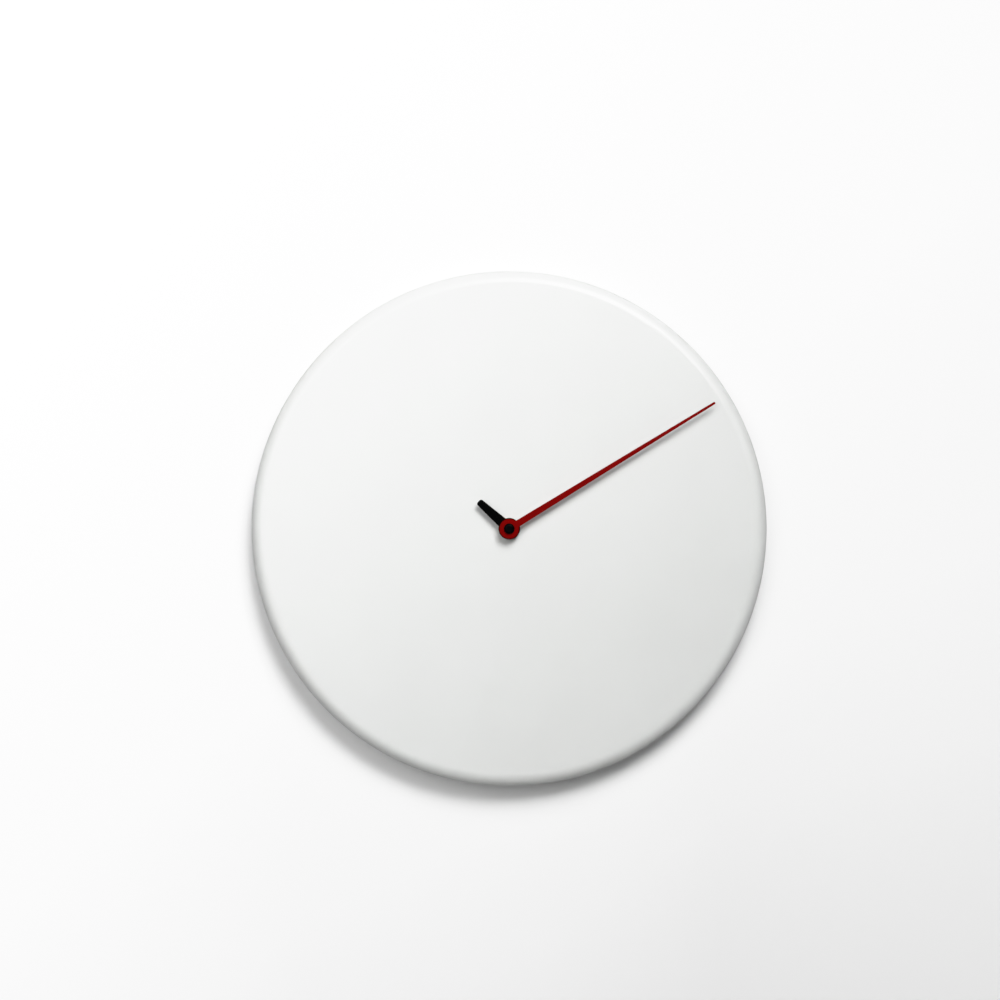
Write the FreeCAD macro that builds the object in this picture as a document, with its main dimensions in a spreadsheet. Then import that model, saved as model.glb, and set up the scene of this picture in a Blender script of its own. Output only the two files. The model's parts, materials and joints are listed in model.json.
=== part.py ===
import FreeCAD, Part
import math
import os
import re
import Sketcher

# Wall clock: a drawn sheet-metal dial, two hands, a quartz movement and a keyhole hanger.
#
# The origin lies on the hands' axis, in the plane of the wall. +Y points into the wall, +Z is up
# and the clock faces -Y. A "stand" is a distance out from the wall: a face at stand 26 has y = -26.
# Pieces that turn are modelled round their own axis and then placed.

SIZES = {
    # The dial, drawn from one sheet, with a rim turned in at the back.
    "dial_radius": 180,
    "dial_depth": 26,
    "sheet_metal": 1,
    "rim_corner": 9,
    "flange_corner": 2,
    "flange_width": 10,
    "dial_hole": 4.1,
    # The hanger strap, its studs and their nuts.
    "hanger_height": 118,
    "hanger_width": 26,
    "hanger_stand": 5,
    "strap": 1.2,
    "crown_half": 17,
    "foot_reach": 38,
    "bend_radius": 2,
    "stud_spacing": 56,
    "stud_radius": 2,
    "stud_length": 6.5,
    "stud_clearance": 0.15,
    "hanger_washer_radius": 4.5,
    "hanger_washer_thickness": 0.8,
    "hanger_nut_flats": 7,
    "hanger_nut_thickness": 3.2,
    "keyhole_entry": 4.5,
    "keyhole_neck": 2.3,
    "keyhole_travel": 9,
    # What holds the movement to the dial.
    "gasket_radius": 14,
    "thread_radius": 3.95,
    "thread_end": 29.3,
    "bushing_bore": 2.65,
    "bushing_flange": 6,
    "bushing_tail": 3.6,
    "slip": 0.02,
    "fixing_washer_radius": 6.6,
    "fixing_washer_thickness": 0.5,
    "fixing_nut_flats": 12,
    "fixing_nut_thickness": 2.2,
    # The hands and their bushes.
    "hand_sheet": 0.6,
    "hour_hand_stand": 31,
    "hour_hand_angle": -48.3,
    "hour_hub_radius": 7.5,
    "hour_hand_length": 28.5,
    "hour_root_width": 7.9,
    "hour_tip_width": 4.8,
    "hour_tip_corner": 1.7,
    "hour_bush_radius": 3.4,
    "hour_bush_neck": 3,
    "minute_hand_stand": 33.7,
    "minute_hand_angle": 58.5,
    "minute_hub_radius": 6.85,
    "minute_hand_length": 167.2,
    "minute_root_width": 4.8,
    "minute_tip_width": 1.65,
    "minute_tip_corner": 0.7,
    "minute_bush_radius": 2.9,
    "minute_bush_neck": 2.3,
    "bush_height": 1.4,
    "hub_fillet": 1.2,
    "cap_radius": 3.7,
    "cap_height": 1.9,
    "cap_round": 1.5,
    # The movement's case.
    "case_half": 28,
    "case_stand": 9,
    "case_depth": 15,
    "case_wall": 1.2,
    "case_corner": 3,
    "case_edge": 0.6,
    "bay_top": -11.7,
    "cover_post": 1.3,
    "cover_post_inset": 2.2,
    "cover_post_middle": 3,
    "bay_notch_half": 8,
    "bay_notch_depth": 5,
    "cover_gap": 0.1,
    "knob_ring": 6.4,
    "knob_ring_wall": 0.8,
    # The plates and posts that carry the wheels.
    "plate": 0.8,
    "middle_plate_stand": 19.5,
    "train_plate_stand": 13.2,
    "plate_left": -24.5,
    "plate_right": 14.2,
    "plate_bottom": -9.6,
    "plate_top": 14,
    "post_radius": 1.6,
    "post_waist": 0.9,
    "post_pin": 0.5,
    "post_left": -22.5,
    "post_right": 9.8,
    "post_low": -7.3,
    "post_high": 11.2,
    # The wheels: layers, arbors and modules.
    "wheel": 0.6,
    "leaf_extra": 0.1,
    "arbor": 0.4,
    "running_gap": 0.05,
    "motion_hub": 1.2,
    "train_hub": 0.52,
    "intermediate_hub": 0.6,
    "bore_excess": 1,
    "pivot_depth": 0.6,
    "hour_layer": 21.9,
    "motion_layer": 20.9,
    "centre_layer": 18.1,
    "third_layer": 17,
    "second_layer": 15.8,
    "intermediate_layer": 14.6,
    "hour_tube_radius": 2.55,
    "hour_tube_bore": 1.7,
    "minute_arbor_radius": 1.6,
    "minute_neck": 1.35,
    "minute_tail": 1,
    "minute_head": 1.3,
    "minute_head_thickness": 0.2,
    "clutch_radius": 3,
    "clutch_sheet": 0.12,
    "clutch_dish": 0.33,
    "motion_module": 0.4,
    "motion_distance": 9.6,
    "motion_direction": 190,
    "setting_direction": 130,
    "motor_module": 0.25,
    "third_distance": 6.5,
    "third_direction": 120,
    "intermediate_distance": 6.6,
    "rotor_distance": 5.25,
    "motor_direction": 10,
    # The setting shaft and knob.
    "setting_stem": 1.5,
    "setting_tail": 1.2,
    "knob_recess": 0.4,
    "knob_recess_radius": 3.8,
    "knob_radius": 5,
    "knob_height": 3.2,
    "knob_gap": 0.3,
    "flute_radius": 0.45,
    # The stepping motor.
    "magnet_radius": 2.8,
    "magnet_bore": 0.92,
    "magnet_collar": 0.9,
    "magnet_stand": 16.5,
    "magnet_thickness": 1.4,
    "stator_stand": 16.9,
    "stator_left": 7.5,
    "stator_waist": 15.6,
    "stator_right": 22.9,
    "stator_bottom": -8.7,
    "stator_top": 12.7,
    "stator_leg": 3,
    "stator_bore": 3.1,
    "coil_axis": 21.3,
    "core_width": 2.6,
    "bobbin_flange": 4.2,
    "bobbin_barrel": 2.2,
    "bobbin_lip": 0.8,
    "bobbin_gap": 0.4,
    "winding_radius": 3.8,
    # The circuit board.
    "board_left": 6,
    "board_right": 22,
    "board_bottom": 15.5,
    "board_top": 26.2,
    "board_stand": 16,
    "board_thickness": 1,
    "board_post": 1.2,
    "board_post_inset": 2.4,
    "chip_inset": 4.5,
    "crystal_inset": 3,
    "chip_radius": 3,
    "chip_height": 1.2,
    "chip_round": 0.9,
    "crystal_radius": 1,
    "crystal_length": 6,
    # The AA cell and its contacts.
    "cell_radius": 7.1,
    "cell_height": -19.25,
    "cell_stand": 15.2,
    "cell_negative_end": -24.8,
    "cell_length": 50.5,
    "cell_round": 0.7,
    "cell_end_plate": 0.3,
    "nub_radius": 2.75,
    "nub_length": 1.3,
    "contact": 0.3,
    "contact_touch": 0.1,
    "contact_half_height": 5.7,
    "leaf_rise": 1.1,
    "leaf_half_width": 2,
    "strip_width": 3,
    "tail_half": 1,
    "finger_inset": 1,
    "finger_width": 2,
    "riser_left": 14,
    "riser_right": 16,
    "contact_near": 11,
    "contact_far": 21,
}

# Tooth counts of the two trains.
CANNON, MOTION, MOTION_PINION, HOUR, SETTING = 12, 36, 10, 40, 12
ROTOR, INTERMEDIATE, SECOND, THIRD, CENTRE, TRAIN_PINION = 6, 36, 40, 60, 64, 8
# Teeth have a short addendum and generous backlash, as moulded clock wheels do.
PRESSURE_ANGLE = math.radians(20)
ADDENDUM = 0.75
DEDENDUM = 1.15
BACKLASH = 0.16
KNOB_FLUTES = 24

# Faces and limits that follow from the sizes.
CASE_FRONT = "case_stand + case_depth"
CASE_FLOOR = f"{CASE_FRONT} - case_wall"
COVER_FRONT = "case_stand + case_wall"
DIAL_BACK = "dial_depth - sheet_metal"
NUT_BACK = "dial_depth + fixing_washer_thickness"
CAVITY_HALF = "case_half - case_wall"
PARTITION_TOP = "bay_top + case_wall"
INNER_CORNER = "case_corner - case_wall"
KNOB_FRONT = "case_stand - knob_gap"
KNOB_BACK = f"{KNOB_FRONT} - knob_height"
PIVOT_FRONT = f"{CASE_FLOOR} + pivot_depth - slip"
POSITIVE_AT = "cell_negative_end + cell_length + contact_touch"

doc = FreeCAD.newDocument("wall_clock")
sheet = doc.addObject("Spreadsheet::Sheet", "Sizes")


# --- The sheet and its expressions ---------------------------------------------------------------


def fill_sheet():
    """One row for each driving dimension: its name, then its value under that alias."""
    for row, (alias, size) in enumerate(SIZES.items(), 1):
        sheet.set(f"A{row}", alias)
        sheet.set(f"B{row}", str(size))
        sheet.setAlias(f"B{row}", alias)
    doc.recompute()


def full(expression):
    """Put the sheet's name before each alias in an expression."""

    def name(word):
        return f"Sizes.{word[0]}" if word[0] in SIZES else word[0]

    return re.sub(r"[a-z]\w*", name, str(expression))


def number(expression):
    """What an expression over the sheet comes to."""
    return float(sheet.evalExpression(full(expression)))


def bind(thing, name, expression):
    """Bind one property to an expression over the sheet."""
    thing.setExpression(name, full(expression))


# --- Drawings: functions that draw a closed shape into a sketch ----------------------------------


def pin_point(sketch, geometry, end, x, y):
    """Bind one point of a sketch to its two coordinates."""
    for kind, axis, expression in (("DistanceX", -2, x), ("DistanceY", -1, y)):
        if str(expression) == "0":
            sketch.addConstraint(Sketcher.Constraint("PointOnObject", geometry, end, axis))
            continue
        distance = number(expression)
        index = sketch.addConstraint(Sketcher.Constraint(kind, -1, 1, geometry, end, distance))
        bind(sketch, f"Constraints[{index}]", expression)


def bind_radius(sketch, geometry, radius):
    """Bind the radius of a circle or an arc."""
    index = sketch.addConstraint(Sketcher.Constraint("Radius", geometry, number(radius)))
    bind(sketch, f"Constraints[{index}]", radius)


def vector(x, y):
    return FreeCAD.Vector(number(x), number(y), 0)


def circle(x, y, radius):
    """A circle."""

    def draw(sketch):
        outline = Part.Circle(vector(x, y), FreeCAD.Vector(0, 0, 1), number(radius))
        index = sketch.addGeometry(outline, False)
        pin_point(sketch, index, 3, x, y)
        bind_radius(sketch, index, radius)

    return draw


def polygon(points):
    """A closed outline of straight lines through the points."""

    def draw(sketch):
        corners = [vector(x, y) for x, y in points]
        first = sketch.GeometryCount
        for start, end in zip(corners, corners[1:] + corners[:1]):
            sketch.addGeometry(Part.LineSegment(start, end), False)
        for index, (x, y) in enumerate(points):
            following = first + (index + 1) % len(points)
            sketch.addConstraint(Sketcher.Constraint("Coincident", first + index, 2, following, 1))
            pin_point(sketch, first + index, 1, x, y)

    return draw


def rectangle(left, right, bottom, top):
    """An upright rectangle."""
    return polygon([(left, bottom), (right, bottom), (right, top), (left, top)])


def rounded_rectangle(left, right, bottom, top, corner):
    """An upright rectangle with round corners: each corner's arc is tangent to both its sides."""
    near_left, near_right = f"{left} + ({corner})", f"{right} - ({corner})"
    near_bottom, near_top = f"{bottom} + ({corner})", f"{top} - ({corner})"
    sides = [
        ((near_left, bottom), (near_right, bottom)),
        ((right, near_bottom), (right, near_top)),
        ((near_right, top), (near_left, top)),
        ((left, near_top), (left, near_bottom)),
    ]
    centres = [
        (near_right, near_bottom),
        (near_right, near_top),
        (near_left, near_top),
        (near_left, near_bottom),
    ]

    def draw(sketch):
        first = sketch.GeometryCount
        for start, end in sides:
            sketch.addGeometry(Part.LineSegment(vector(*start), vector(*end)), False)
        for quarter, (x, y) in enumerate(centres):
            whole = Part.Circle(vector(x, y), FreeCAD.Vector(0, 0, 1), number(corner))
            begin = (quarter - 1) * math.pi / 2
            sketch.addGeometry(Part.ArcOfCircle(whole, begin, begin + math.pi / 2), False)
        for quarter, (x, y) in enumerate(centres):
            side, arc = first + quarter, first + 4 + quarter
            following = first + (quarter + 1) % 4
            sketch.addConstraint(Sketcher.Constraint("Tangent", side, 2, arc, 1))
            sketch.addConstraint(Sketcher.Constraint("Tangent", arc, 2, following, 1))
            pin_point(sketch, arc, 3, x, y)
            bind_radius(sketch, arc, corner)

    return draw


def hexagon(x, y, flats):
    """A regular hexagon with two corners level, given across its flats."""
    reach = f"{flats} / 2 / cos(30)"
    return polygon(
        [(f"{x} + {reach} * cos({turn})", f"{y} + {reach} * sin({turn})") for turn in range(0, 360, 60)]
    )


# --- Bodies and their features -------------------------------------------------------------------


def new_body(label, x="0", z="0", stand="0"):
    """An empty body whose own origin is placed at x, z and a stand."""
    body = doc.addObject("PartDesign::Body", label)
    body.Label = label
    bind(body, "Placement.Base.x", x)
    bind(body, "Placement.Base.y", f"-({stand})")
    bind(body, "Placement.Base.z", z)
    return body


def new_sketch(body, role, offset, drawings):
    """A sketch on one of the body's origin planes; on XZ_Plane the offset is a stand."""
    sketch = body.newObject("Sketcher::SketchObject", f"{body.Label}_sketch")
    plane = next(p for p in body.Origin.OriginFeatures if p.Role == role)
    sketch.AttachmentSupport = [(plane, "")]
    sketch.MapMode = "FlatFace"
    bind(sketch, "AttachmentOffset.Base.z", offset)
    for draw in drawings:
        draw(sketch)
    return sketch


def pad(body, near, far, *drawings, role="XZ_Plane"):
    """Add a flat piece of the body between two stands, or two heights on XY_Plane."""
    sketch = new_sketch(body, role, near, drawings)
    feature = body.newObject("PartDesign::Pad", f"{body.Label}_pad")
    feature.Profile = sketch
    bind(feature, "Length", f"({far}) - ({near})")


def pocket(body, near, far, *drawings):
    """Cut the body between two stands."""
    sketch = new_sketch(body, "XZ_Plane", near, drawings)
    feature = body.newObject("PartDesign::Pocket", f"{body.Label}_pocket")
    feature.Profile = sketch
    feature.Reversed = True
    bind(feature, "Length", f"({far}) - ({near})")


def revolve(body, points):
    """Turn a closed outline of (radius, stand) points round the body's Y axis."""
    outline = polygon([(radius, f"-({stand})") for radius, stand in points])
    sketch = new_sketch(body, "XY_Plane", "0", [outline])
    feature = body.newObject("PartDesign::Revolution", f"{body.Label}_turn")
    feature.Profile = sketch
    feature.ReferenceAxis = (sketch, ["V_Axis"])
    feature.Angle = 360


def turned(label, points, x="0", z="0"):
    """A turned piece."""
    body = new_body(label, x, z)
    revolve(body, points)
    return body


def ring(label, inner, outer, near, far, x="0", z="0"):
    """A flat ring between two stands."""
    return turned(label, [(inner, near), (outer, near), (outer, far), (inner, far)], x, z)


def edge_names(body, wanted):
    """The names of the edges of the body's last feature that a test picks out."""
    doc.recompute()
    edges = enumerate(body.Tip.Shape.Edges, 1)
    return [f"Edge{index}" for index, edge in edges if wanted(edge)]


def round_edges(body, radius, wanted):
    """Round the edges that a test picks out."""
    names = edge_names(body, wanted)
    base = body.Tip
    feature = body.newObject("PartDesign::Fillet", f"{body.Label}_round")
    feature.Base = (base, names)
    bind(feature, "Radius", radius)


def same(one, other):
    """Whether two lengths agree within a micrometre."""
    return abs(one - other) < 0.001


def hoop(radius, stand):
    """A test for the full circles of one radius at one stand."""

    def wanted(edge):
        curve = edge.Curve
        is_circle = isinstance(curve, Part.Circle)
        return is_circle and same(curve.Radius, number(radius)) and same(curve.Center.y, -number(stand))

    return wanted


def upright(axis, distance_test):
    """A test for straight edges along one axis whose middle passes a further test."""

    def wanted(edge):
        if not isinstance(edge.Curve, Part.Line):
            return False
        along = abs(edge.tangentAt(edge.FirstParameter).dot(axis)) > 0.999
        return along and distance_test(edge.CenterOfMass)

    return wanted


# --- Part primitives, for the wheels and the motor -----------------------------------------------


def rod(name, radius, near, far):
    """A cylinder round the local Y axis, between two stands."""
    piece = doc.addObject("Part::Cylinder", name)
    piece.Placement = FreeCAD.Placement(FreeCAD.Vector(), FreeCAD.Rotation(FreeCAD.Vector(1, 0, 0), 90))
    bind(piece, "Radius", radius)
    bind(piece, "Height", f"({far}) - ({near})")
    bind(piece, "Placement.Base.y", f"-({near})")
    return piece


def block(name, left, right, bottom, top, near, far):
    """A box between two x, two z and two stands."""
    piece = doc.addObject("Part::Box", name)
    bind(piece, "Length", f"({right}) - ({left})")
    bind(piece, "Width", f"({far}) - ({near})")
    bind(piece, "Height", f"({top}) - ({bottom})")
    bind(piece, "Placement.Base.x", left)
    bind(piece, "Placement.Base.y", f"-({far})")
    bind(piece, "Placement.Base.z", bottom)
    return piece


def fused(label, pieces):
    """Several overlapping pieces made one."""
    joined = doc.addObject("Part::MultiFuse", label)
    joined.Shapes = pieces
    joined.Label = label
    return joined


def cut(label, base, tool):
    """One piece less another."""
    result = doc.addObject("Part::Cut", label)
    result.Base = base
    result.Tool = tool
    result.Label = label
    return result


def place(piece, x, z):
    """Put a piece's own axis at x and z."""
    bind(piece, "Placement.Base.x", x)
    bind(piece, "Placement.Base.z", z)
    return piece


def involute(angle):
    return math.tan(angle) - angle


def tooth_outline(teeth, module, phase):
    """A closed outline of involute teeth round the local Y axis, one tooth's middle at phase."""
    pitch = teeth * module / 2
    base = pitch * math.cos(PRESSURE_ANGLE)
    root = pitch - DEDENDUM * module
    tip = pitch + ADDENDUM * module
    half_at_pitch = math.pi / 2 / teeth * (1 - BACKLASH)

    def half_angle(radius):
        pressure = math.acos(min(1, base / radius))
        return half_at_pitch + involute(PRESSURE_ANGLE) - involute(pressure)

    flank = [(root, half_angle(max(root, base)))]
    flank += [(radius, half_angle(max(radius, base))) for radius in (pitch, tip)]
    corners = []
    for tooth in range(teeth):
        middle = math.radians(phase) + 2 * math.pi * tooth / teeth
        rising = [(radius, middle - half) for radius, half in flank]
        falling = [(radius, middle + half) for radius, half in reversed(flank)]
        corners += rising + falling
    points = [FreeCAD.Vector(r * math.cos(turn), 0, r * math.sin(turn)) for r, turn in corners]
    return Part.makePolygon(points + points[:1])


def toothed(name, teeth, module, phase, near, far):
    """A toothed disc between two stands."""
    outline = doc.addObject("Part::Feature", f"{name}_outline")
    outline.Shape = tooth_outline(teeth, number(module), phase)
    disc = doc.addObject("Part::Extrusion", name)
    disc.Base = outline
    disc.DirMode = "Custom"
    disc.Dir = FreeCAD.Vector(0, -1, 0)
    disc.Solid = True
    bind(disc, "LengthFwd", f"({far}) - ({near})")
    bind(disc, "Placement.Base.y", f"-({near})")
    return disc


def gear(name, teeth, module, phase, layer, leaf=False):
    """A toothed wheel in its layer; a pinion's leaves are a little longer than a wheel is thick."""
    extra = "leaf_extra" if leaf else "0"
    return toothed(name, teeth, module, phase, f"{layer} - {extra}", f"{layer} + wheel + {extra}")


def meshed_phase(phase, teeth, direction, other_teeth):
    """The phase that puts a second wheel in mesh with a first, which lies back along direction."""
    return direction + 180 + 180 / other_teeth + (direction - phase) * teeth / other_teeth


# --- Where the arbors stand ----------------------------------------------------------------------


def step_from(place_before, distance, direction):
    """The point one centre distance away in a direction, as two expressions."""
    x, z = place_before
    return f"{x} + {distance} * cos({direction})", f"{z} + {distance} * sin({direction})"


AXIS = ("0", "0")
MOTION_AT = step_from(AXIS, "motion_distance", "motion_direction")
SETTING_AT = step_from(MOTION_AT, "motion_distance", "setting_direction")
THIRD_AT = step_from(AXIS, "third_distance", "third_direction")
INTERMEDIATE_AT = step_from(AXIS, "intermediate_distance", "motor_direction")
ROTOR_AT = step_from(INTERMEDIATE_AT, "rotor_distance", "motor_direction")
POSTS_AT = [(x, z) for x in ("post_left", "post_right") for z in ("post_low", "post_high")]
# Each pair's module follows from its centre distance.
HOUR_MODULE = f"2 * motion_distance / {MOTION_PINION + HOUR}"
SECOND_MODULE = f"2 * intermediate_distance / {TRAIN_PINION + SECOND}"
THIRD_MODULE = f"2 * third_distance / {TRAIN_PINION + THIRD}"
CENTRE_MODULE = f"2 * third_distance / {TRAIN_PINION + CENTRE}"


# --- The dial and the hanger ---------------------------------------------------------------------


def make_dial():
    """A drawn dish: flat dial, rounded rim, straight skirt and a flange turned in at the wall."""
    skirt_inside = "dial_radius - sheet_metal"
    flange_edge = "dial_radius - flange_width"
    body = turned(
        "dial_dish",
        [
            ("dial_hole", DIAL_BACK),
            (skirt_inside, DIAL_BACK),
            (skirt_inside, "sheet_metal"),
            (flange_edge, "sheet_metal"),
            (flange_edge, "0"),
            ("dial_radius", "0"),
            ("dial_radius", "dial_depth"),
            ("dial_hole", "dial_depth"),
        ],
    )
    round_edges(body, "rim_corner", hoop("dial_radius", "dial_depth"))
    round_edges(body, "rim_corner - sheet_metal", hoop(skirt_inside, DIAL_BACK))
    round_edges(body, "flange_corner", hoop("dial_radius", "0"))
    round_edges(body, "flange_corner - sheet_metal", hoop(skirt_inside, "sheet_metal"))


def make_hanger():
    """A hat-section strap with a foot on each stud and a keyhole in its crown."""
    body = new_body("hanger_bracket")
    crown_front = "hanger_stand + strap"
    foot_back = f"{DIAL_BACK} - strap"
    crown_inside = "crown_half - strap"
    right_half = [
        (crown_inside, crown_front),
        (crown_inside, DIAL_BACK),
        ("foot_reach", DIAL_BACK),
        ("foot_reach", foot_back),
        ("crown_half", foot_back),
        ("crown_half", "hanger_stand"),
    ]
    left_half = [(f"-({x})", stand) for x, stand in reversed(right_half)]
    outline = polygon([(x, f"-({stand})") for x, stand in right_half + left_half])
    low = "hanger_height - hanger_width / 2"
    pad(body, low, "hanger_height + hanger_width / 2", outline, role="XY_Plane")

    def bend(x, stand):
        def at_bend(point):
            return same(abs(point.x), number(x)) and same(point.y, -number(stand))

        return upright(FreeCAD.Vector(0, 0, 1), at_bend)

    for x, stand in (("crown_half", "hanger_stand"), (crown_inside, DIAL_BACK)):
        round_edges(body, "bend_radius", bend(x, stand))
    for x, stand in ((crown_inside, crown_front), ("crown_half", foot_back)):
        round_edges(body, "bend_radius - strap", bend(x, stand))
    entry = "hanger_height - keyhole_travel / 2"
    rest = "hanger_height + keyhole_travel / 2"
    pocket(body, "hanger_stand", crown_front, circle("0", entry, "keyhole_entry"))
    neck = rectangle("-keyhole_neck", "keyhole_neck", entry, rest)
    pocket(body, "hanger_stand", crown_front, neck)
    pocket(body, "hanger_stand", crown_front, circle("0", rest, "keyhole_neck"))
    holes = [
        circle(f"{side} * stud_spacing / 2", "hanger_height", "stud_radius + stud_clearance")
        for side in (-1, 1)
    ]
    pocket(body, foot_back, DIAL_BACK, *holes)


def both_sides(label, make_right):
    """Two identical pieces, the right one as made and the left one its mirror image, in one node."""
    right = make_right(f"{label}_right")
    left = doc.addObject("Part::Mirroring", f"{label}_left")
    left.Source = right
    left.Normal = FreeCAD.Vector(1, 0, 0)
    pair = doc.addObject("Part::Compound", label)
    pair.Links = [right, left]
    pair.Label = label


def hex_nut(label, flats, bore, near, far, x="0", z="0"):
    """A hexagonal nut."""
    body = new_body(label, x, z)
    pad(body, near, far, hexagon("0", "0", flats), circle("0", "0", bore))
    return body


def make_hanger_fixings():
    """Weld studs on the dial's back, with a washer and a nut on each."""
    at = ("stud_spacing / 2", "hanger_height")
    washer_front = f"{DIAL_BACK} - strap"
    nut_front = f"{washer_front} - hanger_washer_thickness"
    nut_back = f"{nut_front} - hanger_nut_thickness"
    bore = "stud_radius + stud_clearance"

    def stud(label):
        body = new_body(label, *at)
        pad(body, f"{DIAL_BACK} - stud_length", DIAL_BACK, circle("0", "0", "stud_radius"))
        return body

    def washer(label):
        return ring(label, bore, "hanger_washer_radius", nut_front, washer_front, *at)

    def nut(label):
        return hex_nut(label, "hanger_nut_flats", "stud_radius + slip", nut_back, nut_front, *at)

    both_sides("hanger_studs", stud)
    both_sides("hanger_washers", washer)
    both_sides("hanger_nuts", nut)


# --- What holds the movement to the dial ---------------------------------------------------------


def make_centre_fixings():
    """The rubber gasket, the threaded bushing and its washer and nut on the dial's face."""
    ring("dial_gasket", "bushing_flange + cover_gap", "gasket_radius", CASE_FRONT, DIAL_BACK)
    turned(
        "centre_bushing",
        [
            ("bushing_bore", CASE_FLOOR),
            ("bushing_tail", CASE_FLOOR),
            ("bushing_tail", CASE_FRONT),
            ("bushing_flange", CASE_FRONT),
            ("bushing_flange", DIAL_BACK),
            ("thread_radius", DIAL_BACK),
            ("thread_radius", "thread_end"),
            ("bushing_bore", "thread_end"),
        ],
    )
    ring("fixing_washer", "dial_hole", "fixing_washer_radius", "dial_depth", NUT_BACK)
    nut_front = f"{NUT_BACK} + fixing_nut_thickness"
    hex_nut("fixing_nut", "fixing_nut_flats", "thread_radius + slip", NUT_BACK, nut_front)


# --- The hands -----------------------------------------------------------------------------------


def make_hand(label, hub, length, root_width, tip_width, tip_corner, bore, stand, angle):
    """A flat hand: a tapering blade with a rounded end on a round hub, turned to its angle."""
    body = new_body(label)
    front = f"{stand} + hand_sheet"
    blade = polygon(
        [
            (f"-{root_width} / 2", "0"),
            (f"{root_width} / 2", "0"),
            (f"{tip_width} / 2", length),
            (f"-{tip_width} / 2", length),
        ]
    )
    pad(body, stand, front, blade)
    pad(body, stand, front, circle("0", "0", hub))
    along_y = FreeCAD.Vector(0, 1, 0)
    end = number(length)
    radius = number(hub)
    round_edges(body, tip_corner, upright(along_y, lambda point: same(point.z, end)))

    def at_hub(point):
        return same(math.hypot(point.x, point.z), radius) and point.z > radius / 2

    round_edges(body, "hub_fillet", upright(along_y, at_hub))
    pocket(body, stand, front, circle("0", "0", bore))
    turn = FreeCAD.Rotation(along_y, number(angle))
    body.Placement = FreeCAD.Placement(FreeCAD.Vector(), turn)
    bind(body, "Placement.Rotation.Angle", angle)


def make_bush(label, bore, outer, neck, stand):
    """A collet riveted into a hand, with a shoulder behind it."""
    turned(
        label,
        [
            (bore, f"{stand} - bush_height"),
            (outer, f"{stand} - bush_height"),
            (outer, stand),
            (neck, stand),
            (neck, f"{stand} + hand_sheet"),
            (bore, f"{stand} + hand_sheet"),
        ],
    )


def make_hands():
    """Both hands, their bushes and the cap."""
    make_hand(
        "hour_hand",
        "hour_hub_radius",
        "hour_hand_length",
        "hour_root_width",
        "hour_tip_width",
        "hour_tip_corner",
        "hour_bush_neck + slip",
        "hour_hand_stand",
        "hour_hand_angle",
    )
    make_hand(
        "minute_hand",
        "minute_hub_radius",
        "minute_hand_length",
        "minute_root_width",
        "minute_tip_width",
        "minute_tip_corner",
        "minute_bush_neck + slip",
        "minute_hand_stand",
        "minute_hand_angle",
    )
    make_bush(
        "hour_hand_bush",
        "hour_tube_radius + slip",
        "hour_bush_radius",
        "hour_bush_neck",
        "hour_hand_stand",
    )
    make_bush(
        "minute_hand_bush",
        "minute_arbor_radius + slip",
        "minute_bush_radius",
        "minute_bush_neck",
        "minute_hand_stand",
    )
    base = "minute_hand_stand + hand_sheet"
    top = f"{base} + cap_height"
    bore_end = f"{base} + cap_height / 2"
    cap = turned(
        "hand_cap",
        [
            ("minute_tail + slip", base),
            ("cap_radius", base),
            ("cap_radius", top),
            ("0", top),
            ("0", bore_end),
            ("minute_tail + slip", bore_end),
        ],
    )
    round_edges(cap, "cap_round", hoop("cap_radius", top))


# --- The movement's case -------------------------------------------------------------------------


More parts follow.
